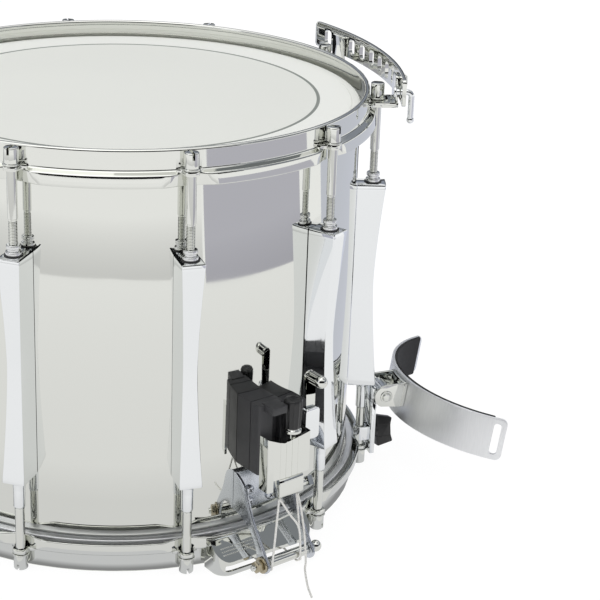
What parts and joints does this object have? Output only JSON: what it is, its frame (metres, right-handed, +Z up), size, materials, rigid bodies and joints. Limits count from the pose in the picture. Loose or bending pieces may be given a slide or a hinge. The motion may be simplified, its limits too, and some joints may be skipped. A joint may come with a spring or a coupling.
{
  "type": "marching snare drum",
  "caption": "Chrome marching snare drum with full-height lugs, a throw-off strainer, a carrying rail and a folding padded knee rest.",
  "frame": {"origin": "middle of the underside: the part's box, without the cord's free end, is centred in X and Y and stands on z = 0", "axes": "+Z up along the drum's axis, +X towards the knee rest and the carrying rail, -Y towards the strainer's side"},
  "size_m": [0.4906, 0.4221, 0.3261],
  "materials": {
    "chrome": "bright chrome plate",
    "aluminium": "brushed, satin",
    "zinc_steel": "zinc plated, semi-bright",
    "wire_steel": "drawn wire",
    "black_plastic": "moulded, satin",
    "foam": "closed-cell foam, matt",
    "coated_film": "coated polyester film, smooth matt",
    "clear_film": "thin film, glossy",
    "cord": "braided cord"
  },
  "bodies": {
    "drum": {"shell": "chrome", "top_hoop": "chrome", "bottom_hoop": "chrome", "batter_head": "coated_film", "batter_flesh_hoop": "aluminium", "snare_side_head": "clear_film", "snare_side_flesh_hoop": "aluminium", "lug_01": "chrome", "top_rod_01": "chrome", "bottom_rod_01": "chrome", "lug_02": "chrome", "top_rod_02": "chrome", "bottom_rod_02": "chrome", "lug_03": "chrome", "top_rod_03": "chrome", "bottom_rod_03": "chrome", "lug_04": "chrome", "top_rod_04": "chrome", "bottom_rod_04": "chrome", "lug_05": "chrome", "top_rod_05": "chrome", "bottom_rod_05": "chrome", "lug_06": "chrome", "top_rod_06": "chrome", "bottom_rod_06": "chrome", "lug_07": "chrome", "top_rod_07": "chrome", "bottom_rod_07": "chrome", "lug_08": "chrome", "top_rod_08": "chrome", "bottom_rod_08": "chrome", "lug_09": "chrome", "top_rod_09": "chrome", "bottom_rod_09": "chrome", "lug_10": "chrome", "top_rod_10": "chrome", "bottom_rod_10": "chrome", "snare_roller": "chrome", "butt_roller": "chrome", "butt_clamp": "chrome", "knee_clamp": "chrome", "carry_rail": "chrome", "rail_bracket_front": "chrome", "rail_bracket_rear": "chrome", "strainer_bracket": "zinc_steel", "butt_bracket": "zinc_steel", "strainer_housing": "black_plastic", "snare_wires": "wire_steel", "snare_cord": "cord", "snare_cord_tail": "cord", "butt_cord": "cord"},
    "lever": {"throw_off_lever": "chrome"},
    "slide": {"strainer_block": "chrome", "cord_clamp": "chrome"},
    "knob": {"tension_knob": "black_plastic"},
    "knee_rest": {"knee_hinge_bracket": "chrome", "knee_band": "aluminium", "knee_pad": "foam"},
    "knee_screw": {"knee_wing_screw": "black_plastic"},
    "hook": {"sling_hook": "chrome"}
  },
  "joints": [
    {"name": "lever_throw", "type": "hinge", "parent": "drum", "child": "lever", "pos_m": [0.08619, -0.1555, 0.1035], "axis": [-0.5461, 0.8377, 0], "range_deg": [0, 100]},
    {"name": "block_slide", "type": "slide", "parent": "drum", "child": "slide", "axis": [0, 0, 1], "range_m": [-0.006, 0], "deforming": ["snare_cord"]},
    {"name": "knob_turn", "type": "hinge", "parent": "slide", "child": "knob", "pos_m": [0.07335, -0.17169, 0.118], "axis": [0, 0, 1], "continuous": true},
    {"name": "knee_fold", "type": "hinge", "parent": "drum", "child": "knee_rest", "pos_m": [0.15935, -0.01091, 0.062], "axis": [0.2351, -0.972, 0], "range_deg": [0, 50]},
    {"name": "knee_screw_turn", "type": "hinge", "parent": "drum", "child": "knee_screw", "pos_m": [0.16362, -0.00987, 0.0266], "axis": [0.972, 0.2351, 0], "continuous": true},
    {"name": "hook_swing", "type": "hinge", "parent": "drum", "child": "hook", "pos_m": [0.16007, -0.03207, 0.31], "axis": [-0.0372, -0.9993, 0], "range_deg": [0, 30]}
  ],
  "couplings": [
    {"joint": "block_slide", "follows": "lever_throw", "m_per_rad": -0.00343}
  ]
}
